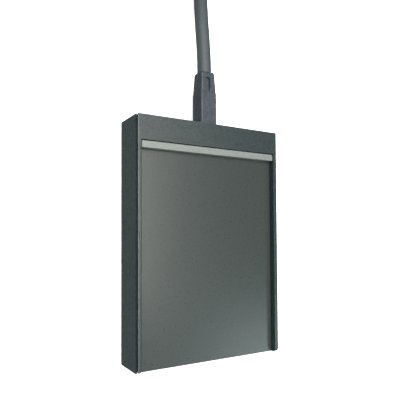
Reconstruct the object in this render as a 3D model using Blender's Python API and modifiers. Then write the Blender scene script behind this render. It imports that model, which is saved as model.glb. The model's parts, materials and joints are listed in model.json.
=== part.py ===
"""A desktop RFID card reader: a flat case with a card tray, lying face up, and its USB cable.

The frame is +Z out of the face, +Y towards the cable and +X to the right, in metres. The origin
is on the desk under the middle of the case. The cable leaves the +Y end, comes down to the desk,
and the length that isn't in use is wound into a tied coil with the plug lying on it.
"""

import math

import bmesh
import bpy
from mathutils import Matrix, Vector

# ---- Driving dimensions -------------------------------------------------------------------------

GAP = 0.0003  # between pieces that touch

# Case
CASE_W = 0.0580
CASE_L = 0.0842
CASE_T = 0.0143
FOOT_PROUD = 0.0010  # how far the feet hold the case off the desk
WALL = 0.0016
LAP = 0.0006  # thickness of each half of the lapped joint between the two halves
SKIN = 0.0013  # thickness of the cover over the hollow in its band
EDGE = 0.00035  # radius of the outer edges
SOFT_EDGE = 0.0002  # radius of the edges of the card plate and the light guide
LIP = 0.0010  # height of the cover's outer rim, above the joint
SHADOW_GAP = 0.0005  # height of the groove between the rim and the rear housing

# Card tray
RAIL_W = 0.0015
BAND_L = 0.0084  # from the cable end of the case to the light guide's slot
TRAY_DEPTH = 0.0022  # from the face to the card plate
LEDGE_DEPTH = 0.0027  # from the face to the ledge round the card plate
POCKET_DEPTH = 0.0033
PLATE_MARGIN = 0.0006  # from a rail to the card plate
RAIL_END_RADIUS = 0.0016
GUIDE_W = 0.0023  # width of the light guide's strip
GUIDE_BELOW_FACE = 0.0001
TRAY_UNDER = 0.0043  # from the face to the underside of the tray

# Board and what stands on it
BOARD_W = 0.0404
BOARD_T = 0.0010
BOARD_LOW_Y = -0.0120
BOARD_HIGH_Y = 0.0383
BOARD_BOTTOM = 0.0044
LED_X = (-0.018, -0.006, 0.006, 0.018)
LED_SIZE = (0.0035, 0.0028, 0.0013)
PIPE_R = 0.0009

# Fasteners and feet
CASE_SCREW_AT = (0.0239, 0.0275)
BOARD_SCREW_AT = (0.0170, -0.0085)
BOARD_POST_AT = (0.0170, 0.0345)
SCREW_R = 0.0010
SCREW_HEAD_R = 0.0019
SCREW_HEAD_H = 0.0010
CASE_SCREW_LENGTH = 0.0078
BOARD_SCREW_LENGTH = 0.0031
HOLE_R = SCREW_R + GAP
COVER_BOSS_R = 0.0026
CASE_BOSS_R = 0.0028
CASE_BOSS_TOP = 0.0060
BOARD_BOSS_R = 0.0022
BOARD_POST_R = 0.0020
FOOT_AT = (0.0225, 0.0358)
FOOT_R = 0.0040
FOOT_EDGE = 0.00025
RECESS = 0.0005  # depth of the pockets for the feet and the label
LABEL = (0.034, 0.022)
LABEL_T = 0.0002

# Strain relief
RELIEF_Z = 0.0096
RELIEF_SIDE = 0.0066
RELIEF_STRAIGHT = 0.0120  # from the case's end to where the taper starts
RELIEF_LENGTH = 0.0194
RELIEF_MOUTH = 0.0056
RELIEF_CORNER = 0.0005
RELIEF_SLOT = (0.0020, 0.0050, 0.0012)  # width, length and depth
SLOT_AFTER_BEND = 0.0006  # from the start of the taper to the slot
NECK_SIDE = 0.0050
FLANGE_W = 0.0090
FLANGE_H = 0.0076
FLANGE_T = 0.0012

# Cable
CORD_R = 0.0026
JACKET_END_Y = 0.0350  # where the jacket is stripped, inside the case
LANE = 0.0053  # between turns side by side
LAYER = 0.0053  # between turns on top of each other
LANES = 4
LAYERS = 2
COIL_R = 0.0266  # at the middle of the turns
COIL_AT = (-0.0308, 0.1265)
COIL_LOW = 0.0001
TIE_ANGLE = math.radians(200)
TIE_WIDTH = 0.0060
TIE_T = 0.0006

# USB plug
PLUG_ARC = 0.0190  # radius of the cable's last bend, before the plug
PLUG_RUN = 0.0020  # straight cable between that bend and the plug
NECK_L = 0.0070
NECK_R = 0.0034
NECK_MOUTH_R = 0.0030
GRIP = (0.0220, 0.0155, 0.0074)
SHELL = (0.0188, 0.0120, 0.0045)
SHELL_WALL = 0.00035
SHELL_WEB = 0.0010
WINDOW_AT = (0.01025, 0.0029)  # from the shell's back and from its middle
WINDOW_SIDE = 0.0025
TONGUE_T = 0.0019
CONTACT = (0.0130, 0.0010, 0.0003)
CONTACT_AT = (-0.0035, -0.0010, 0.0010, 0.0035)

# ---- Levels and edges that follow from them -----------------------------------------------------

HALF_W = CASE_W / 2
HALF_L = CASE_L / 2
BACK = FOOT_PROUD
FACE = BACK + CASE_T
FLOOR = BACK + WALL
LIP_LOW = FACE - LIP
HOUSING_TOP = LIP_LOW - SHADOW_GAP
TRAY_LOW = FACE - TRAY_UNDER
PLATE_TOP = FACE - TRAY_DEPTH
PLATE_LOW = FACE - POCKET_DEPTH + GAP
LEDGE = FACE - LEDGE_DEPTH
CHANNEL_HALF = HALF_W - RAIL_W
CHANNEL_END = HALF_L - BAND_L
GUIDE_HIGH_Y = CHANNEL_END - GAP
GUIDE_LOW_Y = GUIDE_HIGH_Y - GUIDE_W
GUIDE_Y = (GUIDE_HIGH_Y + GUIDE_LOW_Y) / 2
PLATE_END = GUIDE_LOW_Y - GAP
COUNTERBORE_TOP = BACK + SCREW_HEAD_H + 2 * GAP
CASE_SCREW_TOP = BACK + SCREW_HEAD_H + CASE_SCREW_LENGTH
BOARD_TOP = BOARD_BOTTOM + BOARD_T
BOARD_SCREW_LOW = BOARD_TOP + GAP - BOARD_SCREW_LENGTH
ON_BOARD = BOARD_TOP + GAP
LED_TOP = ON_BOARD + LED_SIZE[2]
RELIEF_END = HALF_L + RELIEF_LENGTH
RELIEF_SLOT_Y = HALF_L + RELIEF_STRAIGHT + SLOT_AFTER_BEND + RELIEF_SLOT[1] / 2
FLANGE_HIGH_Y = HALF_L - WALL - GAP
FLANGE_LOW_Y = FLANGE_HIGH_Y - FLANGE_T
COIL_TOP = COIL_LOW + 2 * CORD_R + LAYER * (LAYERS - 1)
COIL_MIDDLE = (COIL_LOW + COIL_TOP) / 2
COIL_HALF = (LANES - 1) / 2 * LANE + CORD_R  # half of the width of the bundle of turns
OUTER_LANE = COIL_R + (LANES - 1) / 2 * LANE
PLUG_Z = COIL_TOP + GAP + GRIP[2] / 2
PLUG_X = COIL_AT[0] + OUTER_LANE - PLUG_ARC - PLUG_RUN  # where the cable enters the plug
PLUG_Y = COIL_AT[1] + PLUG_ARC
OVER = 0.0004  # how far a cutter runs past the face that it opens

# The cable from the strain relief to the coil, bending a little right while it comes down.
LEAD_ROUTE = (
    (0.0, RELIEF_END + GAP, RELIEF_Z),
    (0.0, 0.0665, 0.00950),
    (-0.0001, 0.0713, 0.00930),
    (-0.0002, 0.0755, 0.00900),
    (-0.0002, 0.0800, 0.00850),
    (0.0, 0.0845, 0.00775),
    (0.0004, 0.0890, 0.00675),
    (0.0010, 0.0935, 0.00570),
    (0.0018, 0.0980, 0.00465),
    (0.0025, 0.1022, 0.00370),
    (0.0031, 0.1063, 0.00305),
)


# ---- Helpers ------------------------------------------------------------------------------------


def clear_scene():
    for obj in list(bpy.data.objects):
        bpy.data.objects.remove(obj, do_unlink=True)


def new_collection(name):
    made = bpy.data.collections.new(name)
    bpy.context.scene.collection.children.link(made)
    return made


def material(name, colour, roughness, metallic=0.0):
    made = bpy.data.materials.new(name)
    made.use_nodes = True
    shader = made.node_tree.nodes["Principled BSDF"]
    shader.inputs["Base Color"].default_value = (*colour, 1.0)
    shader.inputs["Roughness"].default_value = roughness
    shader.inputs["Metallic"].default_value = metallic
    made.diffuse_color = (*colour, 1.0)
    return made


def add_part(name, data, location=(0, 0, 0), finish=None):
    """An object of the reader, under its parent empty. Its finish is a material."""
    obj = bpy.data.objects.new(name, data)
    obj.location = location
    obj.parent = reader
    parts.objects.link(obj)
    obj.data.materials.append(finish)
    return obj


def as_cutter(obj):
    """Turns an object into one that only shapes others."""
    for group in list(obj.users_collection):
        group.objects.unlink(obj)
    cutters.objects.link(obj)
    obj.hide_render = True
    obj.display_type = "WIRE"
    return obj


def mesh_from(name, build):
    """A mesh that build(bm) fills."""
    data = bpy.data.meshes.new(name)
    bm = bmesh.new()
    build(bm)
    bmesh.ops.recalc_face_normals(bm, faces=bm.faces)
    bm.to_mesh(data)
    bm.free()
    return data


def box(name, low, high, finish, edge=0.0, segments=2):
    """A block between two corners, with its edges rounded to edge."""
    low, high = Vector(low), Vector(high)

    def build(bm):
        bmesh.ops.create_cube(bm, size=1.0, matrix=Matrix.Diagonal((*(high - low), 1.0)))

    obj = add_part(name, mesh_from(name, build), (low + high) / 2, finish)
    if edge:
        round_edges(obj, edge, segments)
    return obj


def cylinder(name, centre, radius, low, high, finish, sides=20, top_radius=None):
    """An upright cylinder or cone from low to high."""
    depth = high - low

    def build(bm):
        bmesh.ops.create_cone(
            bm,
            cap_ends=True,
            segments=sides,
            radius1=radius,
            radius2=radius if top_radius is None else top_radius,
            depth=depth,
        )

    obj = add_part(name, mesh_from(name, build), (*centre, (low + high) / 2), finish)
    obj.data.shade_smooth()
    obj.data.set_sharp_from_angle(angle=math.radians(40))
    return obj


def round_edges(obj, width, segments=2):
    bevel = obj.modifiers.new("round edges", "BEVEL")
    bevel.width = width
    bevel.segments = segments
    bevel.limit_method = "ANGLE"
    bevel.angle_limit = math.radians(40)
    return bevel


def combine(obj, others, operation):
    for other in others:
        modifier = obj.modifiers.new(f"{operation.lower()} {other.name}", "BOOLEAN")
        modifier.operation = operation
        modifier.solver = "EXACT"
        modifier.object = as_cutter(other)
    return obj


def cut(obj, *others):
    return combine(obj, others, "DIFFERENCE")


def join(obj, *others):
    return combine(obj, others, "UNION")


def outline(name, loops, depth, finish, location=(0, 0, 0)):
    """A flat outline extruded to depth, in a mesh; each loop inside the first is a hole."""
    curve = bpy.data.curves.new(name, "CURVE")
    curve.dimensions = "2D"
    curve.fill_mode = "BOTH"
    curve.extrude = depth / 2
    for loop in loops:
        spline = curve.splines.new("POLY")
        spline.points.add(len(loop) - 1)
        for point, (x, y) in zip(spline.points, loop):
            point.co = (x, y, 0.0, 1.0)
        spline.use_cyclic_u = True
    return mesh_of_curve(name, curve, finish, location)


def mesh_of_curve(name, curve, finish, location=(0, 0, 0)):
    """Makes a curve a mesh with its caps welded on, so that a Boolean can use it."""
    helper = bpy.data.objects.new(name, curve)
    parts.objects.link(helper)
    graph = bpy.context.evaluated_depsgraph_get()
    data = bpy.data.meshes.new_from_object(helper.evaluated_get(graph))
    bpy.data.objects.remove(helper, do_unlink=True)
    data.materials.clear()
    bm = bmesh.new()
    bm.from_mesh(data)
    bmesh.ops.remove_doubles(bm, verts=bm.verts, dist=1e-6)
    bmesh.ops.recalc_face_normals(bm, faces=bm.faces)
    bm.to_mesh(data)
    bm.free()
    return add_part(name, data, location, finish)


def rounded_rectangle(width, height, radius, steps=4):
    """The points round a rectangle whose corners are arcs."""
    points = []
    for corner, (sx, sy) in enumerate(((1, 1), (-1, 1), (-1, -1), (1, -1))):
        centre = (sx * (width / 2 - radius), sy * (height / 2 - radius))
        for step in range(steps + 1):
            angle = math.pi / 2 * (corner + step / steps)
            points.append((centre[0] + radius * math.cos(angle), centre[1] + radius * math.sin(angle)))
    return points


def tube(name, points, radius, finish, resolution=2):
    """A round cable along a POLY spline."""
    curve = bpy.data.curves.new(name, "CURVE")
    curve.dimensions = "3D"
    curve.bevel_depth = radius
    curve.bevel_resolution = resolution
    curve.use_fill_caps = True
    spline = curve.splines.new("POLY")
    spline.points.add(len(points) - 1)
    for point, place in zip(spline.points, points):
        point.co = (*place, 1.0)
    return add_part(name, curve, finish=finish)


def smooth_route(knots, spacing):
    """Points about spacing apart on a Catmull-Rom curve through knots."""
    knots = [Vector(k) for k in knots]
    knots = [2 * knots[0] - knots[1], *knots, 2 * knots[-1] - knots[-2]]
    points = []
    for a, b, c, d in zip(knots, knots[1:], knots[2:], knots[3:]):
        slope = (c - a) / 2
        bend = a - 2.5 * b + 2 * c - d / 2
        twist = 1.5 * (b - c) + (d - a) / 2
        steps = max(1, round((c - b).length / spacing))
        for step in range(steps):
            t = step / steps
            points.append(b + slope * t + bend * t**2 + twist * t**3)
    return [*points, knots[-2]]


def loft(name, sections, finish):
    """A closed body through rings of the same number of points, with flat ends."""

    def build(bm):
        rings = [[bm.verts.new(point) for point in section] for section in sections]
        for first, second in zip(rings, rings[1:]):
            for i, vert in enumerate(first):
                j = (i + 1) % len(first)
                bm.faces.new((vert, first[j], second[j], second[i]))
        bm.faces.new(rings[0])
        bm.faces.new(rings[-1])

    return add_part(name, mesh_from(name, build), finish=finish)


def at_corners(spot):
    """The four places that mirror a spot in X and Y."""
    return [(sx * spot[0], sy * spot[1]) for sy in (1, -1) for sx in (-1, 1)]


# ---- Case ---------------------------------------------------------------------------------------


def make_top_cover():
    """The face: a rim, two rails, the band at the cable end and the sunken tray between them."""
    skirt = HALF_W - LAP - GAP
    skirt_end = HALF_L - LAP - GAP
    rim_root = LIP_LOW + GAP
    cover = box("top_cover", (-HALF_W, -HALF_L, LIP_LOW), (HALF_W, HALF_L, FACE), shell_plastic, EDGE)
    join(cover, box("cover_core", (-skirt, -HALF_L, TRAY_LOW), (skirt, skirt_end, rim_root), shell_plastic))
    bosses = []
    for number, spot in enumerate(at_corners(CASE_SCREW_AT), 1):
        span = (CASE_BOSS_TOP + GAP, TRAY_LOW + GAP)
        bosses.append(cylinder(f"cover_boss_{number}", spot, COVER_BOSS_R, *span, shell_plastic))
    join(cover, *bosses)
    half_neck = NECK_SIDE / 2
    over_neck = RELIEF_Z + half_neck + GAP
    low, high = (-half_neck, skirt_end - GAP, over_neck), (half_neck, HALF_L, rim_root)
    join(cover, box("cover_tab", low, high, shell_plastic))
    cut(
        cover,
        box(
            "channel",
            (-CHANNEL_HALF, -HALF_L - OVER, LEDGE),
            (CHANNEL_HALF, CHANNEL_END, FACE + OVER),
            shell_plastic,
        ),
        box(
            "plate_pocket",
            (-CHANNEL_HALF + PLATE_MARGIN - GAP, -HALF_L - OVER, FACE - POCKET_DEPTH),
            (CHANNEL_HALF - PLATE_MARGIN + GAP, GUIDE_LOW_Y, LEDGE + OVER),
            shell_plastic,
        ),
        box(
            "band_hollow",
            (-CHANNEL_HALF + LAP, CHANNEL_END + SKIN, TRAY_LOW - OVER),
            (CHANNEL_HALF - LAP, skirt_end - LAP, FACE - SKIN),
            shell_plastic,
        ),
        box(
            "neck_notch",
            (-half_neck - GAP, skirt_end - LAP - OVER, TRAY_LOW - OVER),
            (half_neck + GAP, HALF_L + OVER, over_neck),
            shell_plastic,
        ),
        rail_end_cutter(),
    )
    for number, spot in enumerate(at_corners(CASE_SCREW_AT), 1):
        span = (CASE_BOSS_TOP, CASE_SCREW_TOP + GAP)
        cut(cover, cylinder(f"cover_pilot_{number}", spot, HOLE_R, *span, shell_plastic))
    span = (TRAY_LOW - OVER, LEDGE + OVER)
    for number, x in enumerate(LED_X, 1):
        cut(cover, cylinder(f"guide_hole_{number}", (x, GUIDE_Y), PIPE_R + GAP, *span, shell_plastic, 12))
    return cover


def rail_end_cutter():
    """Takes the corner between the face and the open end off, leaving it round."""
    radius = RAIL_END_RADIUS
    centre = (0.0, -HALF_L + radius, FACE - radius)
    corner = box(
        "rail_end_corner",
        (-HALF_W - OVER, -HALF_L - OVER, centre[2]),
        (HALF_W + OVER, centre[1], FACE + OVER),
        shell_plastic,
    )
    reach = HALF_W + 2 * OVER
    rod = cylinder("rail_end_rod", (0.0, 0.0), radius, -reach, reach, shell_plastic, 32)
    rod.rotation_euler = (0.0, math.pi / 2, 0.0)
    rod.location = centre
    return cut(corner, rod)


def make_rear_housing():
    """The tub that holds the board, with bosses, a lapped rim and pockets in its back."""
    inner, inner_end = HALF_W - WALL, HALF_L - WALL
    lap_low = TRAY_LOW - GAP
    low, high = (-HALF_W, -HALF_L, BACK), (HALF_W, HALF_L, HOUSING_TOP)
    housing = box("rear_housing", low, high, shell_plastic, EDGE)
    cut(
        housing,
        box("cavity", (-inner, -inner_end, FLOOR), (inner, inner_end, HOUSING_TOP + OVER), shell_plastic),
        box(
            "lap",
            (-HALF_W + LAP, -HALF_L - OVER, lap_low),
            (HALF_W - LAP, HALF_L - LAP, HOUSING_TOP + OVER),
            shell_plastic,
        ),
        box(
            "cable_slot",
            (-NECK_SIDE / 2 - GAP, inner_end - OVER, RELIEF_Z - NECK_SIDE / 2 - GAP),
            (NECK_SIDE / 2 + GAP, HALF_L + OVER, HOUSING_TOP + OVER),
            shell_plastic,
        ),
        box(
            "label_pocket",
            (-LABEL[0] / 2 - GAP, -LABEL[1] / 2 - GAP, BACK - OVER),
            (LABEL[0] / 2 + GAP, LABEL[1] / 2 + GAP, BACK + RECESS),
            shell_plastic,
        ),
    )
    for number, spot in enumerate(at_corners(CASE_SCREW_AT), 1):
        span = (FLOOR - GAP, CASE_BOSS_TOP)
        join(housing, cylinder(f"case_boss_{number}", spot, CASE_BOSS_R, *span, shell_plastic))
        span, head_span = (BACK - OVER, CASE_BOSS_TOP + OVER), (BACK - OVER, COUNTERBORE_TOP)
        cut(
            housing,
            cylinder(f"case_hole_{number}", spot, HOLE_R, *span, shell_plastic),
            cylinder(f"counterbore_{number}", spot, SCREW_HEAD_R + GAP, *head_span, shell_plastic),
        )
    span = (FLOOR - GAP, BOARD_BOTTOM - GAP)
    for side in (-1, 1):
        spot = (side * BOARD_SCREW_AT[0], BOARD_SCREW_AT[1])
        pilot_span = (BOARD_SCREW_LOW - GAP, BOARD_BOTTOM)
        join(housing, cylinder(f"board_boss_{side}", spot, BOARD_BOSS_R, *span, shell_plastic))
        cut(housing, cylinder(f"board_pilot_{side}", spot, HOLE_R, *pilot_span, shell_plastic))
        spot = (side * BOARD_POST_AT[0], BOARD_POST_AT[1])
        join(housing, cylinder(f"board_post_{side}", spot, BOARD_POST_R, *span, shell_plastic))
    span = (BACK - OVER, BACK + RECESS)
    for number, spot in enumerate(at_corners(FOOT_AT), 1):
        cut(housing, cylinder(f"foot_pocket_{number}", spot, FOOT_R + GAP, *span, shell_plastic))
    return housing


def make_card_plate():
    """The satin plate that a card lies on, dropped into the tray."""
    half = CHANNEL_HALF - PLATE_MARGIN
    low, high = (-half, -HALF_L, PLATE_LOW), (half, PLATE_END, PLATE_TOP)
    return box("card_plate", low, high, plate_plastic, SOFT_EDGE)


def make_light_guide():
    """The strip across the tray's end, with a light pipe down to each LED."""
    half = CHANNEL_HALF - GAP
    guide = box(
        "light_guide",
        (-half, GUIDE_LOW_Y, LEDGE + GAP),
        (half, GUIDE_HIGH_Y, FACE - GUIDE_BELOW_FACE),
        guide_plastic,
        SOFT_EDGE,
    )
    span = (LED_TOP + GAP, LEDGE + 2 * GAP)
    for number, x in enumerate(LED_X, 1):
        join(guide, cylinder(f"light_pipe_{number}", (x, GUIDE_Y), PIPE_R, *span, guide_plastic, 12))
    return guide


def make_feet():
    """Rubber discs in the pockets at the corners of the back."""
    for number, spot in enumerate(at_corners(FOOT_AT), 1):
        foot = cylinder(f"rubber_foot_{number}", spot, FOOT_R, 0.0, BACK + RECESS - GAP, rubber, 24)
        round_edges(foot, FOOT_EDGE, 1)


def screw(name, spot, head_span, shank_span, recess_span):
    """A cross-head screw."""
    made = cylinder(name, spot, SCREW_HEAD_R, *head_span, steel, 16)
    join(made, cylinder(f"{name}_shank", spot, SCREW_R, *shank_span, steel, 10))
    arm, half_slot = 0.0011, 0.0002
    for part, (wide, deep) in (("a", (arm, half_slot)), ("b", (half_slot, arm))):
        slot = box(
            f"{name}_slot_{part}",
            (spot[0] - wide, spot[1] - deep, recess_span[0]),
            (spot[0] + wide, spot[1] + deep, recess_span[1]),
            steel,
        )
        cut(made, slot)
    return made


def make_screws():
    """Four screws up through the back, and two down through the board."""
    recess = 0.6 * SCREW_HEAD_H
    low = BACK + OVER / 4
    head_high = low + SCREW_HEAD_H
    spans = (low, head_high), (head_high - GAP, CASE_SCREW_TOP), (low - OVER, low + recess)
    for number, spot in enumerate(at_corners(CASE_SCREW_AT), 1):
        screw(f"case_screw_{number}", spot, *spans)
    head_low = BOARD_TOP + GAP
    high = head_low + SCREW_HEAD_H
    spans = (head_low, high), (BOARD_SCREW_LOW, head_low + GAP), (high - recess, high + OVER)
    for number, side in enumerate((-1, 1), 1):
        screw(f"board_screw_{number}", (side * BOARD_SCREW_AT[0], BOARD_SCREW_AT[1]), *spans)


def make_label():
    """The blank rating label in its pocket on the back."""
    half_w, half_h = LABEL[0] / 2, LABEL[1] / 2
    high = BACK + RECESS - GAP
    return box("rating_label", (-half_w, -half_h, high - LABEL_T), (half_w, half_h, high), label_film)


# ---- Electronics --------------------------------------------------------------------------------


def make_board():
    board = box(
        "main_board",
        (-BOARD_W / 2, BOARD_LOW_Y, BOARD_BOTTOM),
        (BOARD_W / 2, BOARD_HIGH_Y, BOARD_TOP),
        board_green,
    )
    span = (BOARD_BOTTOM - OVER, BOARD_TOP + OVER)
    for side in (-1, 1):
        spot = (side * BOARD_SCREW_AT[0], BOARD_SCREW_AT[1])
        cut(board, cylinder(f"board_hole_{side}", spot, HOLE_R, *span, board_green))
    return board


def leg_row(name, centre, along, across, count, pitch):
    """A row of flat legs, along X where along is 0 and along Y where it is 1."""
    size = [0.0, 0.0, 0.0003]
    size[along], size[1 - along] = pitch * 0.45, across
    middle = Vector((*centre, ON_BOARD + 0.00035))
    start = middle.copy()
    start[along] -= (count - 1) / 2 * pitch
    half = Vector(size) / 2
    row = box(name, start - half, start + half, steel)
    array = row.modifiers.new("legs", "ARRAY")
    array.use_relative_offset = False
    array.use_constant_offset = True
    array.constant_offset_displace = [pitch if axis == along else 0.0 for axis in range(3)]
    array.count = count
    return row


def chip(name, centre, size, legs, pitch, four_sides):
    """A moulded package with legs on two or four sides."""
    x, y = centre
    half_x, half_y = size[0] / 2, size[1] / 2
    low, high = ON_BOARD, ON_BOARD + size[2]
    body = box(name, (x - half_x, y - half_y, low), (x + half_x, y + half_y, high), chip_black, 0.00015, 1)
    reach = 0.0012
    for side in (-1, 1):
        spot = (x + side * half_x, y)
        join(body, leg_row(f"{name}_legs_x{side}", spot, 1, reach, legs, pitch))
        if four_sides:
            spot = (x, y + side * half_y)
            join(body, leg_row(f"{name}_legs_y{side}", spot, 0, reach, legs, pitch))
    return body


def small_block(name, centre, size, finish, edge=0.0001):
    """A component standing on the board."""
    x, y = centre
    low = (x - size[0] / 2, y - size[1] / 2, ON_BOARD)
    high = (x + size[0] / 2, y + size[1] / 2, ON_BOARD + size[2])
    return box(name, low, high, finish, edge, 1)


def make_components():
    chip("reader_chip", (-0.0095, 0.0045), (0.0070, 0.0070, 0.0014), 6, 0.0010, True)
    chip("controller_chip", (0.0100, 0.0040), (0.0075, 0.0103, 0.0023), 8, 0.00127, False)
    small_block("crystal", (-0.0025, 0.0125), (0.0114, 0.0047, 0.0036), steel, 0.0012)
    small_block("voltage_regulator", (0.0155, 0.0180), (0.0065, 0.0035, 0.0017), chip_black)
    small_block("inductor", (0.0155, 0.0245), (0.0050, 0.0050, 0.0030), ferrite, 0.0008)
    small_block("tuning_capacitor", (-0.0165, -0.0030), (0.0032, 0.0025, 0.0016), capacitor_tan)
    for number, x in enumerate((-0.0060, -0.0030, 0.0030, 0.0060), 1):
        small_block(f"chip_resistor_{number}", (x, -0.0080), (0.0016, 0.0032, 0.0006), chip_black)
    low = ON_BOARD
    cylinder("filter_capacitor", (0.0085, 0.0146), 0.00315, low, low + 0.0052, aluminium, 24)
    spot, high = (-0.0130, 0.0235), low + 0.0040
    buzzer = cylinder("buzzer", spot, 0.0045, low, high, chip_black, 24)
    cut(buzzer, cylinder("buzzer_hole", spot, 0.0010, high - 0.0010, high + OVER, chip_black, 12))
    for number, x in enumerate(LED_X, 1):
        small_block(f"status_led_{number}", (x, GUIDE_Y), LED_SIZE, led_white, 0.0002)


def make_antenna():
    """The flat wound coil under the tray, and its two leads down to the board."""
    length, width, bundle, height = 0.048, 0.040, 0.0024, 0.0024
    high = TRAY_LOW - GAP
    centre = (0.0, -0.0140, high - height / 2)
    outer = rounded_rectangle(width, length, 0.007)
    inner = rounded_rectangle(width - 2 * bundle, length - 2 * bundle, 0.007 - bundle)
    outline("antenna_coil", [outer, inner], height, copper, centre)
    wire_r = 0.00025
    top = high - height - GAP - wire_r
    bottom = ON_BOARD + wire_r
    for number, x in enumerate((-0.0012, 0.0012), 1):
        route = [(x, 0.0088, top), (x, 0.0070, top - 0.0003), (x, 0.0040, top - 0.0010), (x, 0.0030, bottom)]
        tube(f"antenna_lead_{number}", route, wire_r, copper)


def make_connector():
    """The header on the board, the plug in it and the four wires to the cable's end."""
    half, low_y, high_y, height, wall = 0.0060, 0.0185, 0.0245, 0.0046, 0.0007
    high = ON_BOARD + height
    header = box("board_header", (-half, low_y, ON_BOARD), (half, high_y, high), nylon)
    well_low = (wall - half, low_y + wall, ON_BOARD + wall)
    cut(header, box("header_well", well_low, (half - wall, high_y + OVER, high + OVER), nylon))
    plug_half, plug_end, plug_high = half - wall - GAP, high_y + 0.0010, high - 0.0005
    plug_low = (-plug_half, low_y + wall + GAP, ON_BOARD + wall + GAP)
    box("header_plug", plug_low, (plug_half, plug_end, plug_high), nylon, SOFT_EDGE, 1)
    cable_end = JACKET_END_Y - GAP
    plug_face = plug_end + GAP
    plug_z = (plug_low[2] + plug_high) / 2
    insulation = {"red": wire_red, "white": wire_white, "green": wire_green, "black": wire_black}
    for number, (colour, finish) in enumerate(insulation.items()):
        x = (number - 1.5) * 0.0022
        end_x = 0.0008 * (1 if number > 1 else -1)
        end_z = RELIEF_Z + 0.0008 * (1 if number in (1, 2) else -1)
        knots = (
            (x, plug_face, plug_z),
            (x, plug_face + 0.0016, plug_z),
            ((x + end_x) / 2, (plug_face + cable_end) / 2, (plug_z + end_z) / 2),
            (end_x, cable_end - 0.0014, end_z),
            (end_x, cable_end, end_z),
        )
        tube(f"wire_{colour}", smooth_route(knots, 0.0014), 0.0005, finish)


# ---- Cable --------------------------------------------------------------------------------------


def square_section(side, corner, y, steps=3):
    """A rounded square across the strain relief, as points in the frame."""
    return [Vector((x, y, RELIEF_Z + z)) for x, z in rounded_rectangle(side, side, corner, steps)]


def make_strain_relief():
    """A square relief moulded on the cable: a flange inside the case, a neck in the wall, a taper."""
    start = HALF_L + GAP
    taper = HALF_L + RELIEF_STRAIGHT
    relief = loft(
        "strain_relief",
        [
            square_section(RELIEF_SIDE, RELIEF_CORNER, start),
            square_section(RELIEF_SIDE, RELIEF_CORNER, taper),
            square_section(RELIEF_MOUTH, RELIEF_CORNER, RELIEF_END),
        ],
        rubber,
    )
    half_neck = NECK_SIDE / 2
    low, high = (-half_neck, FLANGE_HIGH_Y - GAP, -half_neck), (half_neck, start + GAP, half_neck)
    neck = box("relief_neck", low, high, rubber)
    neck.location.z = RELIEF_Z
    low, high = (-FLANGE_W / 2, FLANGE_LOW_Y, -FLANGE_H / 2), (FLANGE_W / 2, FLANGE_HIGH_Y, FLANGE_H / 2)
    flange = box("relief_flange", low, high, rubber)
    flange.location.z = RELIEF_Z
    join(relief, neck, flange)
    for side in (-1, 1):
        cut(relief, relief_slot(side))
    return relief


def relief_slot(side):
    """A slot with round ends in the front or the back of the taper."""
    width, length, depth = RELIEF_SLOT
    surface = RELIEF_Z + side * RELIEF_SIDE / 2
    loop = rounded_rectangle(width, length, width / 2 - 0.00001, 5)
    return outline(f"relief_slot_{side}", [loop], 2 * depth, rubber, (0.0, RELIEF_SLOT_Y, surface))


def coil_point(angle, lane_radius, height):
    """A point on the coil, angle round from +X."""
    return (
        COIL_AT[0] + lane_radius * math.cos(angle),
        COIL_AT[1] + lane_radius * math.sin(angle),
        height,
    )


def tail_knots():
    """The cable's end on top of the coil: along the outer lane, then round the last bend."""
    on_top = COIL_TOP + GAP + CORD_R
    knots = [coil_point(math.radians(angle), OUTER_LANE, on_top) for angle in range(-60, -5, 11)]
    steps = 6
    bend_x = PLUG_X + PLUG_RUN
    for step in range(steps + 1):
        angle = math.pi / 2 * step / steps
        height = on_top + (PLUG_Z - on_top) * (1 - math.cos(math.pi * step / steps)) / 2
        knots.append((bend_x + PLUG_ARC * math.cos(angle), COIL_AT[1] + PLUG_ARC * math.sin(angle), height))
    return [*knots, (PLUG_X + GAP, PLUG_Y, PLUG_Z)]


def make_cable():
    tube("cable_in_case", [(0.0, y, RELIEF_Z) for y in (JACKET_END_Y, FLANGE_LOW_Y - GAP)], CORD_R, jacket, 4)
    tube("cable_lead", smooth_route(LEAD_ROUTE, 0.0045), CORD_R, jacket, 4)
    make_coil()
    tube("cable_tail", tail_knots(), CORD_R, jacket, 4)


def make_coil():
    """The outer shape of the wound turns: a turned ring, waisted where the tie holds it."""
    section = rounded_rectangle(2 * COIL_HALF, COIL_TOP - COIL_LOW, CORD_R - SOFT_EDGE, 2)

    def build(bm):
        verts = [bm.verts.new((COIL_R + x, 0.0, z)) for x, z in section]
        for first, second in zip(verts, verts[1:] + verts[:1]):
            bm.edges.new((first, second))

    ring = add_part("cable_coil", mesh_from("cable_coil", build), (*COIL_AT, COIL_MIDDLE), jacket)
    turn = ring.modifiers.new("turn", "SCREW")
    turn.steps = 40
    turn.render_steps = 40
    turn.use_merge_vertices = True
    turn.merge_threshold = 0.0001
    turn.use_normal_calculate = True
    cut(ring, tie_band("tie_waist", TIE_T + GAP, 3 * TIE_T, TIE_WIDTH + 2 * GAP))
    return ring


def tie_band(name, inside, thickness, width):
    """A band round the bundle of turns, its inner face that far inside the bundle's surface."""
    wide = 2 * COIL_HALF - 2 * inside
    high = COIL_TOP - COIL_LOW - 2 * inside
    corner = CORD_R - inside
    outer = rounded_rectangle(wide + 2 * thickness, high + 2 * thickness, corner + thickness, 4)
    inner = rounded_rectangle(wide, high, corner, 4)
    band = outline(name, [outer, inner], width, tie_fabric)
    band.rotation_euler = (math.pi / 2, 0.0, TIE_ANGLE)
    band.location = coil_point(TIE_ANGLE, COIL_R, COIL_MIDDLE)
    return band


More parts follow.
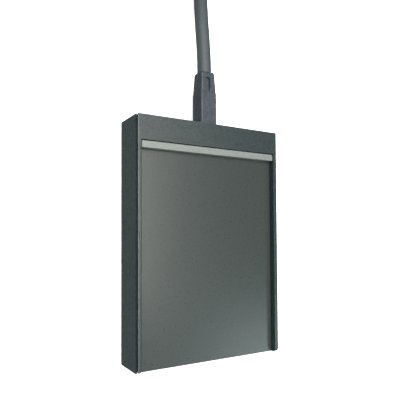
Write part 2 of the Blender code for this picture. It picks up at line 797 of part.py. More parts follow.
def make_tie():
    """The fabric tie, sunk into the bundle until its outside is level with the turns."""
    return tie_band("coil_tie", TIE_T, TIE_T, TIE_WIDTH)


# ---- USB plug -----------------------------------------------------------------------------------


def plug_box(name, start, end, half_width, low, high, finish, edge=0.0, segments=2):
    """A block on the plug, from start to end behind its cable entry, towards -X."""
    return box(
        name,
        (PLUG_X - end, PLUG_Y - half_width, PLUG_Z + low),
        (PLUG_X - start, PLUG_Y + half_width, PLUG_Z + high),
        finish,
        edge,
        segments,
    )


def make_plug():
    grip_end = NECK_L + GRIP[0]
    half_h = GRIP[2] / 2
    grip = plug_box("usb_plug_grip", NECK_L, grip_end, GRIP[1] / 2, -half_h, half_h, rubber, 0.0012, 3)
    neck = cylinder("grip_neck", (0.0, 0.0), NECK_R, -NECK_L - OVER, 0.0, rubber, 20, NECK_MOUTH_R)
    neck.rotation_euler = (0.0, math.pi / 2, 0.0)
    neck.location = (PLUG_X - (NECK_L + OVER) / 2, PLUG_Y, PLUG_Z)
    join(grip, neck)
    start = grip_end + GAP
    end = start + SHELL[0]
    half_w, half_h = SHELL[1] / 2, SHELL[2] / 2
    shell = plug_box("usb_plug_shell", start, end, half_w, -half_h, half_h, steel, 0.0003)
    inside_w, inside_h = half_w - SHELL_WALL, half_h - SHELL_WALL
    web_end = start + SHELL_WEB
    cut(shell, plug_box("shell_mouth", web_end, end + OVER, inside_w, -inside_h, inside_h, steel))
    half = WINDOW_SIDE / 2
    for side in (-1, 1):
        middle = (PLUG_X - start - WINDOW_AT[0], PLUG_Y + side * WINDOW_AT[1])
        low = (middle[0] - half, middle[1] - half, PLUG_Z - half_h - OVER)
        high = (middle[0] + half, middle[1] + half, PLUG_Z + half_h + OVER)
        cut(shell, box(f"shell_window_{side}", low, high, steel))
    tongue = (web_end + GAP, end - 0.0008, inside_w - GAP, GAP - inside_h, GAP - inside_h + TONGUE_T)
    plug_box("usb_plug_tongue", *tongue, nylon)
    contact_low = PLUG_Z + tongue[4] + GAP
    half = CONTACT[1] / 2
    for number, offset in enumerate(CONTACT_AT, 1):
        low = (PLUG_X - end + 0.0022, PLUG_Y + offset - half, contact_low)
        high = (low[0] + CONTACT[0], PLUG_Y + offset + half, contact_low + CONTACT[2])
        box(f"usb_contact_{number}", low, high, gold)


# ---- The model ----------------------------------------------------------------------------------

clear_scene()
parts = new_collection("rfid_card_reader")
cutters = new_collection("cutters")
cutters.hide_render = True
reader = bpy.data.objects.new("reader", None)
parts.objects.link(reader)

shell_plastic = material("shell plastic", (0.075, 0.083, 0.083), 0.55)
plate_plastic = material("plate plastic", (0.085, 0.092, 0.090), 0.38)
guide_plastic = material("frosted light guide", (0.55, 0.57, 0.55), 0.45)
rubber = material("black rubber", (0.035, 0.040, 0.045), 0.65)
jacket = material("cable jacket", (0.045, 0.050, 0.053), 0.50)
steel = material("plated steel", (0.62, 0.62, 0.60), 0.30, 1.0)
aluminium = material("aluminium can", (0.70, 0.70, 0.70), 0.35, 1.0)
copper = material("enamelled copper", (0.55, 0.24, 0.10), 0.35, 1.0)
gold = material("gold plating", (0.83, 0.62, 0.25), 0.30, 1.0)
board_green = material("solder mask", (0.02, 0.16, 0.07), 0.40)
chip_black = material("chip epoxy", (0.02, 0.02, 0.02), 0.50)
ferrite = material("ferrite", (0.05, 0.05, 0.05), 0.70)
capacitor_tan = material("ceramic", (0.45, 0.33, 0.20), 0.50)
led_white = material("LED package", (0.80, 0.80, 0.76), 0.40)
nylon = material("white nylon", (0.75, 0.73, 0.68), 0.50)
label_film = material("label film", (0.60, 0.60, 0.58), 0.45)
tie_fabric = material("tie", (0.03, 0.03, 0.03), 0.80)
wire_red = material("red insulation", (0.50, 0.03, 0.02), 0.50)
wire_white = material("white insulation", (0.75, 0.75, 0.72), 0.50)
wire_green = material("green insulation", (0.03, 0.30, 0.08), 0.50)
wire_black = material("black insulation", (0.02, 0.02, 0.02), 0.50)

make_top_cover()
make_rear_housing()
make_card_plate()
make_light_guide()
make_feet()
make_screws()
make_label()
make_board()
make_components()
make_antenna()
make_connector()
make_strain_relief()
make_cable()
make_tie()
make_plug()
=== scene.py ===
"""The looks of a desktop RFID card reader: its case, card tray, strain relief and USB cable.

The frame is the CAD model's: +Z out of the reader's face, +Y towards the cable, in metres. The
reader lies face up on a pale floor, and the camera looks down on it from its left.
"""

import json
import math

import bmesh
import bpy
from mathutils import Matrix, Vector


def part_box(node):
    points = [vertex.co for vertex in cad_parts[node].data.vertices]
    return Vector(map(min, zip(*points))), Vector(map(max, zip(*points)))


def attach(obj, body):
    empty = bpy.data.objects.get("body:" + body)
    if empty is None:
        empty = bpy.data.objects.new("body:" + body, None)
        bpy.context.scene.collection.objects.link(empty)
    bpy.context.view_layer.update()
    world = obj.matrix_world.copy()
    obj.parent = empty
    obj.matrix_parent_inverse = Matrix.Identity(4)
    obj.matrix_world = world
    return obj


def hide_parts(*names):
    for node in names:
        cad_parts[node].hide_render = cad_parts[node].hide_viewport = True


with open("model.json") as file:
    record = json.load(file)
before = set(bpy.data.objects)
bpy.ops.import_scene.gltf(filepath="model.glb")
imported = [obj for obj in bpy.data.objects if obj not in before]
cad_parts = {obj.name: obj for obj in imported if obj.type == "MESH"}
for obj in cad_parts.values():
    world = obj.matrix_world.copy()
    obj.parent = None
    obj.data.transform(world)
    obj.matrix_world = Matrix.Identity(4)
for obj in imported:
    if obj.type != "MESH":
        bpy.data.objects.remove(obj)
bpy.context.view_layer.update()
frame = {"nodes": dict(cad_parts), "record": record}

# ---- Places read from the frame -----------------------------------------------------------------

COVER_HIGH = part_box("top_cover")[1]
PLATE_LOW, PLATE_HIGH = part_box("card_plate")
GUIDE_LOW, GUIDE_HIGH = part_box("light_guide")
RELIEF_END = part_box("strain_relief")[1].y
COIL_LOW, COIL_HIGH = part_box("cable_coil")
GRIP_LOW, GRIP_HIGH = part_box("usb_plug_grip")

FACE = COVER_HIGH.z
HALF_W = COVER_HIGH.x
HALF_L = COVER_HIGH.y
GAP = 0.0003
EDGE = 0.00035
RAIL_W = 0.0015
RAIL_END_RADIUS = 0.0016
RIM_PLAY = 0.00036  # how far the rim's left side stands in
RIM_LOW = FACE - 0.0010  # the bottom of the rim's undercut
RIM_UNDERCUT = 0.0006
SKIRT_LOW = FACE - 0.0043
LEDGE = PLATE_HIGH.z - 0.0005  # the tray's step, under the light strip
PLATE_GROOVE = 0.0010  # beside the plate's left edge
TOUCHING = 0.00005  # a gap too small to see

# Cable, as the CAD's own route
CORD_R = 0.0026
RELIEF_Z = 0.0096
LANE = 0.0053
LAYER = 0.0053
LANES = 4
COIL_R = 0.0266
COIL_AT = (-0.0308, 0.1265)
BOTTOM_Z = COIL_LOW.z + CORD_R
UPPER_Z = BOTTOM_Z + LAYER
ON_TOP_Z = COIL_HIGH.z + GAP + CORD_R
TIE_ANGLE = math.radians(200)
TIE_T = 0.0006
PLUG_ARC = 0.0190
PLUG_RUN = 0.0020
PLUG_X = GRIP_HIGH.x
PLUG_Y = (GRIP_LOW.y + GRIP_HIGH.y) / 2
PLUG_Z = (GRIP_LOW.z + GRIP_HIGH.z) / 2
LEAD_ROUTE = (
    (0.0, RELIEF_END + GAP, RELIEF_Z),
    (0.0, 0.0665, 0.00950),
    (-0.0001, 0.0713, 0.00930),
    (-0.0002, 0.0755, 0.00900),
    (-0.0002, 0.0800, 0.00850),
    (0.0, 0.0845, 0.00775),
    (0.0004, 0.0890, 0.00675),
    (0.0010, 0.0935, 0.00570),
    (0.0018, 0.0980, 0.00465),
    (0.0025, 0.1022, 0.00370),
    (0.0031, 0.1063, 0.00305),
)


# ---- Camera -------------------------------------------------------------------------------------


def make_camera():
    """Looks down on the face from 30 degrees to its left, with the cable's end up the picture."""
    data = bpy.data.cameras.new("camera")
    data.sensor_width = 36.0
    data.lens = 40.0
    data.shift_x = 0.0106
    data.shift_y = 0.0599
    data.clip_start = 0.01
    camera = bpy.data.objects.new("camera", data)
    bpy.context.scene.collection.objects.link(camera)
    turn = Matrix.Rotation(math.radians(-30.178), 4, "Y")
    tilt = Matrix.Rotation(math.radians(1.953), 4, "X")
    roll = Matrix.Rotation(math.radians(-0.281), 4, "Z")
    camera.matrix_world = Matrix.Translation((-0.08436, 0.00104, 0.1479)) @ turn @ tilt @ roll
    bpy.context.scene.camera = camera


# ---- Mesh helpers -------------------------------------------------------------------------------


def add(name, data, material=None):
    made = bpy.data.objects.new(name, data)
    bpy.context.scene.collection.objects.link(made)
    if material:
        data.materials.append(material)
    return made


def block(name, low, high):
    """A plain block between two corners, for the shapes below to start from."""
    low, high = Vector(low), Vector(high)
    bm = bmesh.new()
    bmesh.ops.create_cube(bm, size=1.0, matrix=Matrix.Diagonal((*(high - low), 1.0)))
    bmesh.ops.translate(bm, verts=bm.verts, vec=(low + high) / 2)
    return add(name, to_mesh(name, bm))


def to_mesh(name, bm):
    bmesh.ops.recalc_face_normals(bm, faces=bm.faces)
    data = bpy.data.meshes.new(name)
    bm.to_mesh(data)
    bm.free()
    return data


def bevel(piece, width, segments=3, angle=40):
    made = piece.modifiers.new("rounded edges", "BEVEL")
    made.width = width
    made.segments = segments
    made.limit_method = "ANGLE"
    made.angle_limit = math.radians(angle)
    return piece


def boolean(piece, other, operation="DIFFERENCE"):
    made = piece.modifiers.new(operation, "BOOLEAN")
    made.operation = operation
    made.solver = "EXACT"
    made.object = other
    return settle(piece, other)


def settle(piece, *helpers):
    """Applies a piece's modifiers and removes the shapes that they used."""
    data = bpy.data.meshes.new_from_object(piece.evaluated_get(bpy.context.evaluated_depsgraph_get()))
    piece.modifiers.clear()
    piece.data = data
    for helper in helpers:
        bpy.data.objects.remove(helper, do_unlink=True)
    return piece


def smooth(piece, angle=35):
    piece.data.shade_smooth()
    piece.data.set_sharp_from_angle(angle=math.radians(angle))
    weights = piece.modifiers.new("flat faces stay flat", "WEIGHTED_NORMAL")
    weights.keep_sharp = True
    return settle(piece)


def rounded_rectangle(width, height, radius, steps=6):
    """The points round a rectangle whose corners are arcs."""
    points = []
    for corner, (sx, sy) in enumerate(((1, 1), (-1, 1), (-1, -1), (1, -1))):
        centre = (sx * (width / 2 - radius), sy * (height / 2 - radius))
        for step in range(steps + 1):
            angle = math.pi / 2 * (corner + step / steps)
            points.append((centre[0] + radius * math.cos(angle), centre[1] + radius * math.sin(angle)))
    return points


def loft(name, rings, closed=False):
    """A body through rings of the same number of points. Where closed, the last joins the first."""
    bm = bmesh.new()
    rows = [[bm.verts.new(point) for point in ring] for ring in rings]
    following = rows[1:] + rows[:1] if closed else rows[1:]
    for first, second in zip(rows, following):
        for i, vert in enumerate(first):
            j = (i + 1) % len(first)
            bm.faces.new((vert, first[j], second[j], second[i]))
    if not closed:
        bm.faces.new(rows[0])
        bm.faces.new(rows[-1])
    return add(name, to_mesh(name, bm))


def prism(name, points, low, high):
    """An upright prism on a flat outline."""
    return loft(name, [[(x, y, z) for x, y in points] for z in (low, high)])


def finish_piece(piece, material, slot, *nodes):
    """Gives a piece its material and its place on the model, in the CAD nodes' stead."""
    piece.data.materials.clear()
    piece.data.materials.append(material)
    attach(piece, "root")
    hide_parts(*nodes)
    return piece


# ---- Materials ----------------------------------------------------------------------------------


class Finish:
    """A Principled material with object coordinates and the few node chains that the finishes share."""

    def __init__(self, name, roughness, metallic=0.0, specular=0.5):
        self.material = bpy.data.materials.new(name)
        self.material.use_nodes = True
        self.tree = self.material.node_tree
        self.shader = self.tree.nodes["Principled BSDF"]
        self.shader.inputs["Roughness"].default_value = roughness
        self.shader.inputs["Metallic"].default_value = metallic
        self.shader.inputs["Specular IOR Level"].default_value = specular
        self.place = self.node("ShaderNodeTexCoord").outputs["Object"]

    def node(self, kind, **values):
        made = self.tree.nodes.new(kind)
        for key, value in values.items():
            setattr(made, key, value)
        return made

    def link(self, source, target):
        self.tree.links.new(source, target)

    def noise(self, size, detail=2.0, stretch=None):
        """Noise whose lumps are about size across. stretch scales the coordinates per axis."""
        made = self.node("ShaderNodeTexNoise")
        made.inputs["Scale"].default_value = 1.0 / size
        made.inputs["Detail"].default_value = detail
        place = self.place
        if stretch:
            mapping = self.node("ShaderNodeMapping")
            mapping.inputs["Scale"].default_value = stretch
            self.link(place, mapping.inputs["Vector"])
            place = mapping.outputs["Vector"]
        self.link(place, made.inputs["Vector"])
        return made.outputs["Fac"]

    def spread(self, source, low, high, start=0.3, end=0.7):
        """Maps the middle of a noise to low..high."""
        made = self.node("ShaderNodeMapRange")
        for key, value in (("From Min", start), ("From Max", end), ("To Min", low), ("To Max", high)):
            made.inputs[key].default_value = value
        self.link(source, made.inputs["Value"])
        return made.outputs["Result"]

    def mix(self, factor, first, second):
        """A colour between two, each a colour or a socket."""
        made = self.node("ShaderNodeMix", data_type="RGBA")
        self.link(factor, made.inputs["Factor"])
        for index, value in ((6, first), (7, second)):
            if isinstance(value, bpy.types.NodeSocket):
                self.link(value, made.inputs[index])
            else:
                made.inputs[index].default_value = (*value, 1.0)
        return made.outputs[2]

    def sum(self, first, second, weight):
        """first + weight * second."""
        made = self.node("ShaderNodeMath", operation="MULTIPLY_ADD")
        self.link(second, made.inputs[0])
        made.inputs[1].default_value = weight
        self.link(first, made.inputs[2])
        return made.outputs[0]

    def bump(self, height, distance, strength=1.0):
        made = self.node("ShaderNodeBump")
        made.inputs["Distance"].default_value = distance
        made.inputs["Strength"].default_value = strength
        self.link(height, made.inputs["Height"])
        self.link(made.outputs["Normal"], self.shader.inputs["Normal"])

    def colour(self, source):
        self.link(source, self.shader.inputs["Base Color"])

    def rough(self, source):
        self.link(source, self.shader.inputs["Roughness"])


def shade(colour, factor):
    return tuple(channel * factor for channel in colour)


def moulded(name, colour, roughness, grain, depth, vary=0.14, specular=0.5, rough_vary=0.05):
    """Moulded plastic or rubber: a fine grain, with slow changes of tone and gloss over it."""
    made = Finish(name, roughness, specular=specular)
    fine = made.noise(grain, 2.0)
    mottle = made.sum(fine, made.noise(grain * 2.2, 2.0), 0.35)
    tone = made.spread(mottle, 0.0, 1.0, 0.50, 0.85)
    made.colour(made.mix(tone, shade(colour, 1 - vary), shade(colour, 1 + vary)))
    gloss = made.noise(grain * 1.25, 1.0)
    made.rough(made.spread(gloss, roughness - rough_vary, roughness + rough_vary))
    made.bump(fine, depth)
    return made


def metal(name, colour, roughness, stretch=(1.0, 12.0, 12.0)):
    """Plated or drawn metal with fine drawing marks."""
    made = Finish(name, roughness, metallic=1.0)
    marks = made.noise(0.0012, 4.0, stretch)
    made.colour(made.mix(marks, shade(colour, 0.86), colour))
    made.rough(made.spread(marks, roughness - 0.06, roughness + 0.10))
    made.bump(marks, 0.000008)
    return made


def woven(name, colour, pitch):
    """A woven tape: two crossing sets of threads, with a fuzz over them."""
    made = Finish(name, 0.9, specular=0.2)
    made.shader.inputs["Sheen Weight"].default_value = 0.25
    waves = []
    for direction in ("X", "Y"):
        wave = made.node("ShaderNodeTexWave", bands_direction=direction, wave_profile="SIN")
        wave.inputs["Scale"].default_value = 0.314 / pitch
        wave.inputs["Distortion"].default_value = 1.2
        wave.inputs["Detail Scale"].default_value = 2.0
        made.link(made.place, wave.inputs["Vector"])
        waves.append(wave.outputs["Fac"])
    weave = made.sum(waves[0], waves[1], 1.0)
    height = made.sum(weave, made.noise(pitch / 3, 3.0), 0.8)
    tone = made.spread(height, 0.0, 1.0, 0.4, 2.2)
    made.colour(made.mix(tone, shade(colour, 0.6), shade(colour, 1.5)))
    made.bump(height, 0.00012)
    return made


def frosted(name, colour):
    """A frosted light guide: pale, a little translucent, with a soft grain."""
    made = moulded(name, colour, 0.42, 0.00030, 0.00001, 0.05)
    made.shader.inputs["Subsurface Weight"].default_value = 0.35
    made.shader.inputs["Subsurface Radius"].default_value = (0.0012, 0.0012, 0.0011)
    made.shader.inputs["Subsurface Scale"].default_value = 0.5
    return made


def solder_mask(name, colour):
    """Solder mask over copper tracks: darker lanes where no copper lies below."""
    made = Finish(name, 0.28)
    brick = made.node("ShaderNodeTexBrick")
    brick.inputs["Scale"].default_value = 180.0
    brick.inputs["Mortar Size"].default_value = 0.03
    brick.inputs["Color1"].default_value = (*colour, 1.0)
    brick.inputs["Color2"].default_value = (*shade(colour, 1.25), 1.0)
    brick.inputs["Mortar"].default_value = (*shade(colour, 0.6), 1.0)
    made.link(made.place, brick.inputs["Vector"])
    made.colour(brick.outputs["Color"])
    made.bump(made.noise(0.0004, 3.0), 0.00001)
    return made


def make_finishes():
    """One finish for each of the record's material slots.

    After its name, a moulded one has its colour, roughness, grain size and bump depth, and then how
    far its tone varies, its specular level and how far its roughness varies.
    """
    case = (0.0120, 0.0190, 0.0200)
    plate = (0.0245, 0.0290, 0.0270)
    jacket = (0.034, 0.040, 0.043)
    made = {
        "case plastic": moulded("case_plastic", case, 0.38, 0.00048, 0.000060, 0.45, 0.46, 0.08),
        "plate plastic": moulded("plate_plastic", plate, 0.30, 0.00044, 0.000010, 0.10, 0.41, 0.03),
        "light guide": frosted("light_guide", (0.148, 0.156, 0.145)),
        "rubber": moulded("rubber", (0.018, 0.025, 0.033), 0.46, 0.00060, 0.000060, 0.40, 0.5, 0.09),
        "cable jacket": moulded("cable_jacket", jacket, 0.58, 0.00045, 0.000016, 0.12, 0.5),
        "plated steel": metal("plated_steel", (0.40, 0.40, 0.39), 0.34),
        "aluminium can": metal("aluminium_can", (0.75, 0.75, 0.75), 0.34),
        "copper wire": metal("copper_wire", (0.60, 0.26, 0.12), 0.32),
        "gold contact": metal("gold_contact", (0.86, 0.64, 0.26), 0.22),
        "board": solder_mask("board", (0.015, 0.15, 0.06)),
        "chip epoxy": moulded("chip_epoxy", (0.018, 0.018, 0.019), 0.55, 0.00015, 0.00001),
        "ferrite": moulded("ferrite", (0.04, 0.04, 0.042), 0.75, 0.0002, 0.00003),
        "ceramic": moulded("ceramic", (0.42, 0.31, 0.19), 0.50, 0.0002, 0.00001),
        "led package": moulded("led_package", (0.80, 0.80, 0.74), 0.35, 0.0003, 0.00001, 0.05),
        "nylon": moulded("nylon", (0.74, 0.72, 0.66), 0.45, 0.0003, 0.00001, 0.05),
        "label film": moulded("label_film", (0.62, 0.62, 0.60), 0.40, 0.0004, 0.00001, 0.04),
        "tie fabric": woven("tie_fabric", (0.018, 0.019, 0.021), 0.00045),
        "red insulation": moulded("red_insulation", (0.50, 0.02, 0.015), 0.40, 0.0004, 0.00001),
        "white insulation": moulded("white_insulation", (0.76, 0.75, 0.72), 0.40, 0.0004, 0.00001, 0.05),
        "green insulation": moulded("green_insulation", (0.02, 0.26, 0.07), 0.40, 0.0004, 0.00001),
        "black insulation": moulded("black_insulation", (0.015, 0.015, 0.016), 0.40, 0.0004, 0.00001),
    }
    return {slot: finish.material for slot, finish in made.items()}


def paint_cad_nodes():
    for part in frame["record"]["subparts"]:
        node = frame["nodes"][part["node"]]
        node.data.materials.clear()
        node.data.materials.append(finishes[part["material_slot"]])
        node.data.shade_smooth()
        node.data.set_sharp_from_angle(angle=math.radians(35))


# ---- Cable --------------------------------------------------------------------------------------


def smooth_route(knots, spacing):
    """Points about spacing apart on a Catmull-Rom curve through knots."""
    knots = [Vector(knot) for knot in knots]
    knots = [2 * knots[0] - knots[1], *knots, 2 * knots[-1] - knots[-2]]
    points = []
    for a, b, c, d in zip(knots, knots[1:], knots[2:], knots[3:]):
        slope = (c - a) / 2
        bend = a - 2.5 * b + 2 * c - d / 2
        twist = 1.5 * (b - c) + (d - a) / 2
        steps = max(1, round((c - b).length / spacing))
        for step in range(steps):
            t = step / steps
            points.append(b + slope * t + bend * t**2 + twist * t**3)
    return [*points, knots[-2]]


def ease(value, start, end):
    """0 before start, 1 after end, smooth between."""
    t = min(max((value - start) / (end - start), 0.0), 1.0)
    return t * t * (3 - 2 * t)


def coil_place(angle):
    """A point of the coil, angle round from where the lead comes in, in radians.

    The lower turns go inwards lane by lane and the upper ones outwards. Each changes its lane
    in the same stretch. The innermost lower turn swings in a little there, as it climbs between
    its neighbours, and the last upper turn climbs on top of the coil.
    """
    turn, part = divmod(math.degrees(angle), 360.0)
    turn = int(turn)
    change_from, change_to = 265.0, 335.0
    shift = ease(part, change_from, change_to)
    if turn < LANES:
        lane = LANES - 1 - turn - (shift if turn < LANES - 1 else 0.0)
        height = BOTTOM_Z
    else:
        lane = turn - LANES + (shift if turn < 2 * LANES - 1 else 0.0)
        height = UPPER_Z
    radius = COIL_R + (lane - (LANES - 1) / 2) * LANE
    if turn == LANES - 1 and change_from < part < change_to:
        radius -= 0.0024 * math.sin(math.pi * (part - change_from) / (change_to - change_from))
    if turn == LANES - 1:
        height += LAYER * shift
    if turn == 2 * LANES - 1:
        height += (ON_TOP_Z - UPPER_Z) * ease(part, 235.0, 300.0)
    near_tie = math.exp(-(((part - math.degrees(TIE_ANGLE)) / 16.0) ** 2))
    radius = COIL_R + (radius - COIL_R) * (1 - 0.07 * near_tie)
    middle = (BOTTOM_Z + UPPER_Z) / 2
    height = middle + (height - middle) * (1 - 0.22 * near_tie)
    x, y = COIL_AT
    return Vector((x + radius * math.cos(angle), y + radius * math.sin(angle), height))


def last_bend():
    """From the outer lane on top of the coil round to the plug, rising to its height."""
    bend_x = PLUG_X + PLUG_RUN
    points = []
    steps = 18
    for step in range(1, steps + 1):
        angle = math.pi / 2 * step / steps
        height = ON_TOP_Z + (PLUG_Z - ON_TOP_Z) * (1 - math.cos(math.pi * step / steps)) / 2
        x, y = bend_x + PLUG_ARC * math.cos(angle), COIL_AT[1] + PLUG_ARC * math.sin(angle)
        points.append(Vector((x, y, height)))
    return [*points, Vector((PLUG_X + GAP, PLUG_Y, PLUG_Z))]


def make_cable(with_pieces):
    """The whole free cable as one curve: the lead, eight turns and the end that goes to the plug."""
    step = math.radians(6.0)
    turns = 2 * LANES
    coil = [coil_place(step * index) for index in range(round(turns * 2 * math.pi / step))]
    start = coil_place(0.0)
    knots = [*LEAD_ROUTE, (start.x - 0.00015, start.y - 0.0125, BOTTOM_Z + 0.00008), start]
    end = Vector((PLUG_X + PLUG_RUN + PLUG_ARC, COIL_AT[1], ON_TOP_Z))
    points = [*smooth_route(knots, 0.0012)[:-1], *coil, end, *last_bend()]
    curve = bpy.data.curves.new("usb_cable", "CURVE")
    curve.dimensions = "3D"
    curve.bevel_depth = CORD_R
    curve.bevel_resolution = 6
    curve.use_fill_caps = True
    spline = curve.splines.new("POLY")
    spline.points.add(len(points) - 1)
    for point, place in zip(spline.points, points):
        point.co = (*place, 1.0)
    spline.use_smooth = True
    cable = add("usb_cable", curve, finishes["cable jacket"])
    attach(cable, "root")
    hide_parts("cable_lead", "cable_coil", "cable_tail")
    return cable


def relief_ring(y, side, corner):
    return [(x, y, RELIEF_Z + z) for x, z in rounded_rectangle(side, side, corner)]


def make_relief():
    """The moulded strain relief: square, then tapered to the cable, with a slot in front and back."""
    side, mouth, corner = 0.0066, 0.0056, 0.0006
    start, bend = HALF_L + GAP, HALF_L + 0.0120
    rings = [
        (start, side - 0.0003, corner),
        (start + 0.0003, side, corner),
        (bend - 0.0003, side, corner),
        (bend, side - 0.00002, corner),
        (bend + 0.00015, side - 0.00022, corner),
        (RELIEF_END - 0.0006, mouth + 0.00008, corner),
        (RELIEF_END - 0.0002, mouth, corner),
        (RELIEF_END + GAP + 0.00002, mouth - 0.0003, corner),
    ]
    relief = loft("moulded_relief", [relief_ring(*ring) for ring in rings])
    neck_half, neck_start = 0.0025, HALF_L - 0.0032
    low = (-neck_half, neck_start, RELIEF_Z - neck_half)
    high = (neck_half, start + 0.0005, RELIEF_Z + neck_half)
    relief = boolean(relief, block("neck", low, high), "UNION")
    width, length, depth = 0.0021, 0.0052, 0.0012
    middle = bend + 0.0006 + length / 2
    for face in (-1, 1):
        points = [(x - 0.0003, middle + y) for x, y in rounded_rectangle(width, length, width * 0.49, 8)]
        level = RELIEF_Z + face * side / 2
        relief = boolean(relief, prism("slot", points, level - depth, level + depth))
    bevel(relief, 0.0001, 2, 50)
    smooth(settle(relief))
    return finish_piece(relief, finishes["rubber"], "rubber", "strain_relief")


def tie_path():
    """The tie's way round the bundle, seen along the turns: places, outward normals and lifts.

    It starts on top, goes once round, and its end lies back over its start.
    """
    half = (COIL_HIGH.x - COIL_LOW.x) / 2 - COIL_R
    height = (COIL_HIGH.z - COIL_LOW.z) / 2
    corner = CORD_R
    up = Vector((0.0, 1.0))
    path = [(Vector((x, height)), up, 0.0) for x in (0.002, 0.0, -0.003, -0.005)]
    for number, (sx, sz) in enumerate(((-1, 1), (-1, -1), (1, -1), (1, 1)), 1):
        middle = Vector((sx * (half - corner), sz * (height - corner)))
        for step in range(9):
            angle = math.pi / 2 * (number + step / 8)
            normal = Vector((math.cos(angle), math.sin(angle)))
            path.append((middle + normal * corner, normal, 0.0))
    for x in (0.0050, 0.0038, 0.0026, 0.0014, 0.0, -0.002, -0.004, -0.0052):
        path.append((Vector((x, height)), up, (TIE_T + 0.0001) * ease(-x, -0.0055, -0.0022)))
    return path


def make_tie():
    """A woven hook and loop tie round the bundle of turns."""
    half_width = 0.0029
    out = Vector((math.cos(TIE_ANGLE), math.sin(TIE_ANGLE), 0.0))
    along = Vector((-out.y, out.x, 0.0))
    centre = Vector((*COIL_AT, (COIL_LOW.z + COIL_HIGH.z) / 2)) + out * COIL_R
    rings = []
    for place, normal, lift in tie_path():
        ring = []
        for depth, side in ((0.0, -1), (0.0, 1), (TIE_T, 1), (TIE_T, -1)):
            flat = place + normal * (lift - depth)
            ring.append(centre + out * flat.x + Vector((0.0, 0.0, flat.y)) + along * side * half_width)
        rings.append(ring)
    tie = loft("woven_tie", rings)
    bevel(tie, 0.00012, 2)
    smooth(settle(tie))
    return finish_piece(tie, finishes["tie fabric"], "tie fabric", "coil_tie")


def make_plug_grip():
    """The moulded grip: a ribbed neck round the cable, a shoulder and a body with finger grooves."""
    neck, shoulder, length = 0.0070, 0.0035, GRIP_HIGH.x - GRIP_LOW.x
    width, height = GRIP_HIGH.y - GRIP_LOW.y, GRIP_HIGH.z - GRIP_LOW.z
    spacing = 0.00025
    rings = []
    for index in range(round(length / spacing) + 1):
        run = index * spacing
        round_neck = 0.0030 + 0.0004 * run / neck
        rib = 0.0
        if run < neck - 0.0006:
            rib = 0.00028 * ease(math.cos(2 * math.pi * run / 0.0016), -0.4, 0.4)
        blend = ease(run, neck - 0.0004, neck + shoulder)
        end = 0.0007 * ease(run, length - 0.0008, length) ** 2
        groove = 0.00035 * (0.5 - 0.5 * math.cos(2 * math.pi * run / 0.0024))
        grooved_from = ease(run, neck + shoulder, neck + shoulder + 0.002)
        grooved_to = ease(run, length - 0.0045, length - 0.0035)
        groove *= grooved_from - grooved_to
        neck_side = 2 * (round_neck - rib)
        wide = neck_side + (width - neck_side) * blend - 2 * (end + groove)
        high = neck_side + (height - neck_side) * blend - 2 * end
        corner = (neck_side / 2 - 0.00001) * (1 - blend) + 0.0022 * blend
        x = GRIP_HIGH.x - run
        rings.append([(x, PLUG_Y + y, PLUG_Z + z) for y, z in rounded_rectangle(wide, high, corner, 8)])
    grip = loft("plug_grip", rings)
    middle = GRIP_LOW.x + 0.0105
    points = [(middle + x, PLUG_Y + y) for x, y in rounded_rectangle(0.0110, 0.0066, 0.0032, 8)]
    grip = boolean(grip, prism("thumb_recess", points, GRIP_HIGH.z - 0.0004, GRIP_HIGH.z + 0.001))
    smooth(grip, 30)
    return finish_piece(grip, finishes["rubber"], "rubber", "usb_plug_grip")


# ---- Case ---------------------------------------------------------------------------------------


def make_rim(left):
    """The cover's rim: upright sides with a slanted undercut below them at three of its sides."""
    low_left, low_right = left + RIM_UNDERCUT, HALF_W - RIM_UNDERCUT
    low_end = HALF_L - RIM_UNDERCUT
    bottom = [(low_left, -HALF_L), (low_right, -HALF_L), (low_right, low_end), (low_left, low_end)]
    top = [(left, -HALF_L), (HALF_W, -HALF_L), (HALF_W, HALF_L), (left, HALF_L)]
    levels = ((bottom, RIM_LOW), (top, FACE - EDGE), (top, FACE))
    return loft("face_cover", [[(x, y, z) for x, y in outline] for outline, z in levels])


def make_cover():
    """The face: a rim with an undercut, two rails, the band at the cable end and the sunken tray."""
    over = 0.001
    left = -HALF_W + RIM_PLAY
    skirt = HALF_W - RIM_UNDERCUT - 2 * GAP
    low, high = (-skirt, -HALF_L, SKIRT_LOW), (skirt, HALF_L - RIM_UNDERCUT - GAP, RIM_LOW + GAP)
    cover = boolean(make_rim(left), block("core", low, high), "UNION")

    channel = HALF_W - RAIL_W
    channel_end = GUIDE_HIGH.y + GAP
    tray = PLATE_LOW.z - GAP
    opening, above = -HALF_L - over, FACE + over
    profile = [(opening, tray), (GUIDE_LOW.y, tray), (GUIDE_LOW.y, LEDGE)]
    profile += [(channel_end, LEDGE), (channel_end, above), (opening, above)]
    hollow = loft("tray_hollow", [[(x, y, z) for y, z in profile] for x in (-channel, channel)])
    cover = boolean(cover, hollow)

    low = (-HALF_W - over, opening, FACE - RAIL_END_RADIUS)
    high = (HALF_W + over, RAIL_END_RADIUS - HALF_L, above)
    cover = boolean(cover, boolean(block("corner", low, high), rail_end_rod(RAIL_END_RADIUS)))

    cover = boolean(cover, left_chamfer(left, over))
    bevel(cover, 0.00014, 5, 50)
    smooth(settle(cover), 20)
    return finish_piece(cover, finishes["case plastic"], "case plastic", "top_cover")


def left_chamfer(left, over):
    """A wedge that takes a shallow chamfer off the cover's upper left edge, past both its ends."""
    outside, inside = left - over, left + 0.00076
    bottom, top = FACE - 0.00056, FACE + 0.0002
    section = [(outside, bottom), (inside, top), (outside, top)]
    ends = (-HALF_L - over, HALF_L + over)
    return loft("chamfer", [[(x, y, z) for x, z in section] for y in ends])


